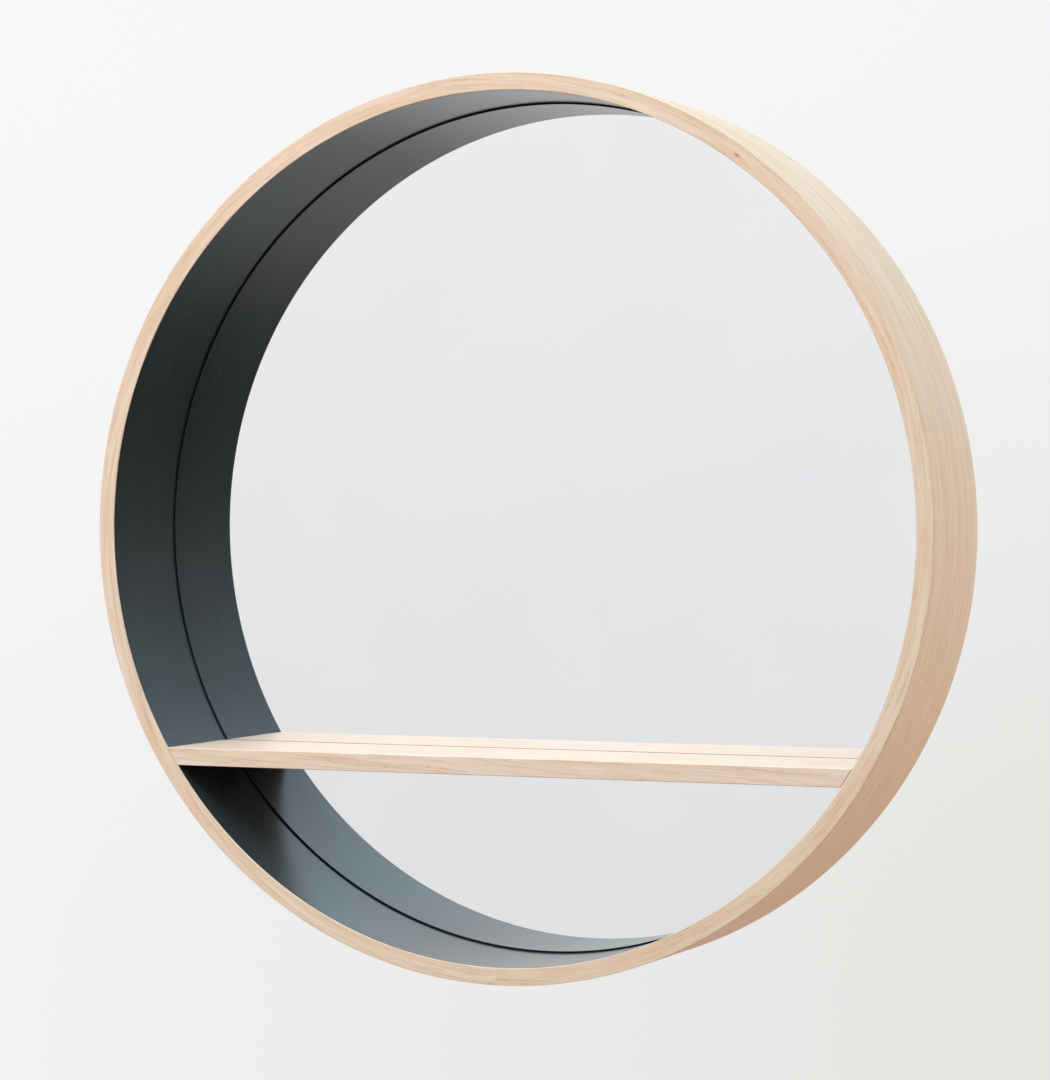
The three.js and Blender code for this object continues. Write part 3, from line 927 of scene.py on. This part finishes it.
def patch(tree, colour, top, towards, azimuth, elevation, edge, full, amount=1.0):
    """Lays a tone over a round patch of the room, which fades out from full to edge, in degrees."""
    turn, rise = math.radians(azimuth), math.radians(elevation)
    middle = (math.sin(turn) * math.cos(rise), -math.cos(turn) * math.cos(rise), math.sin(rise))
    facing = add_node(tree, "VectorMath", {0: towards, 1: middle}, operation="DOT_PRODUCT").outputs["Value"]
    low, high = math.cos(math.radians(edge)), math.cos(math.radians(full))
    return lay_over(tree, colour, top, facing, low, high, amount)


# %% The light of the room
world = bpy.data.worlds.new("pale_room")
bpy.context.scene.world = world
world.use_nodes = True
room = world.node_tree
room.nodes.clear()
towards = add_node(room, "TexCoord").outputs["Generated"]
x, y, z = add_node(room, "SeparateXYZ", {0: towards}).outputs
tones = tone_ramp(room, z, HEIGHT_TONES)
tones = patch(room, tones, CEILING_TONE, towards, -28, 51, 62, 20, 0.45)
towards_wall = add_node(room, "Math", {0: z, 1: -0.6, 2: y}, operation="MULTIPLY_ADD").outputs[0]
tones = lay_over(room, tones, tone_ramp(room, x, WALL_TONES), towards_wall, 0.0, 0.5, 1.0)
tones = patch(room, tones, CORNER_TONE, towards, 60, -30, 52, 25)
tones = patch(room, tones, tone_ramp(room, z, PANEL_TONES), towards, -23.6, 0, 26, 13)
sky = add_node(room, "Background", {"Color": tones, "Strength": SKY_STRENGTH})

# %% [markdown]
# The camera itself looks at a plain backdrop. It is nearly white above and on the left, and a little
# greyer below and on the right, as a painted wall is when its light comes from the upper left.

# %% The backdrop
UPPER_TONES = [(-0.53, "f8f8f8"), (-0.27, "f5f5f5")]
LOWER_TONES = [(-0.53, "f1f1f1"), (-0.27, "e5e5e2")]

upper = tone_ramp(room, x, UPPER_TONES)
lower = tone_ramp(room, x, LOWER_TONES)
backdrop = add_node(room, "Background", {"Color": lay_over(room, upper, lower, z, 0.14, -0.14, 1.0)})
seen = add_node(room, "LightPath").outputs["Is Camera Ray"]
shown = add_node(room, "MixShader", {0: seen, 1: sky.outputs[0], 2: backdrop.outputs[0]})
add_node(room, "OutputWorld", {"Surface": shown.outputs[0]})

# %% [markdown]
# One large round softbox hangs high on the left in front. It gives the soft direction of the light.

# %% Key light
KEY_WIDTH = 1.4
KEY_POWER = 43.5
KEY_PLACE = (-0.9, -1.5, 2.0)

key = bpy.data.objects.new("key", bpy.data.lights.new("key", "AREA"))
key.data.shape = "DISK"
key.data.size = KEY_WIDTH
key.data.energy = KEY_POWER
key.data.color = linear("fff6f2")[:3]
key.location = KEY_PLACE
key.rotation_mode = "QUATERNION"
key.rotation_quaternion = (-key.location).to_track_quat("-Z", "Y")
bpy.context.scene.collection.objects.link(key)

# %% [markdown]
# The floor is sealed pale concrete, which clouds softly. Its own colour is a warm one, because the cool
# ceiling above turns it pale and neutral. It fades out far from the object, so that no edge shows. The
# light that it would throw up is in the room's lower tones already, so it is left out of the bounces.

# %% Floor
FLOOR_HEIGHT = -1.45
FLOOR_RADIUS = 6.0
FADE_FROM = 2.5
FLOOR_CLOUD = 0.5

floor_finish, tree = new_finish("sealed_pale_concrete")
place = add_node(tree, "TexCoord").outputs["Object"]
cloud = add_node(tree, "TexNoise", {"Vector": place, "Scale": 1 / FLOOR_CLOUD, "Detail": 4.0}).outputs["Fac"]
away = add_node(tree, "VectorMath", {0: place}, operation="LENGTH").outputs["Value"]
solid_part = add_node(
    tree,
    "MapRange",
    {"Value": away, "From Min": FADE_FROM, "From Max": FLOOR_RADIUS, "To Min": 1.0, "To Max": 0.0},
    interpolation_type="SMOOTHSTEP",
).outputs[0]
floor_tone = lay_over(tree, "dac0b4", "d5bbaf", cloud, 0.35, 0.65, 1.0)
close_finish(tree, Base_Color=floor_tone, Roughness=0.7, Alpha=solid_part)

ring = [2 * math.pi * k / RING_STEPS for k in range(RING_STEPS)]
floor_mesh = bpy.data.meshes.new("floor")
floor_mesh.from_pydata(
    [(FLOOR_RADIUS * math.cos(a), FLOOR_RADIUS * math.sin(a), 0) for a in ring], [], [range(RING_STEPS)]
)
floor_mesh.materials.append(floor_finish)
floor = bpy.data.objects.new("floor", floor_mesh)
floor.location.z = FLOOR_HEIGHT
floor.visible_diffuse = False
floor.visible_glossy = False
floor.visible_shadow = False
bpy.context.scene.collection.objects.link(floor)
floor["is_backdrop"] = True

bpy.context.scene.view_settings.view_transform = "Standard"

# %% [markdown]
# ## Last lines
#
# The dressed model's box is set against the fixed model's, and its growth is printed.

# %% Compare the boxes and finish
low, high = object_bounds()
print("grown by", [round(v / MM, 3) for v in (high - low) - (cad_high - cad_low)], "mm")
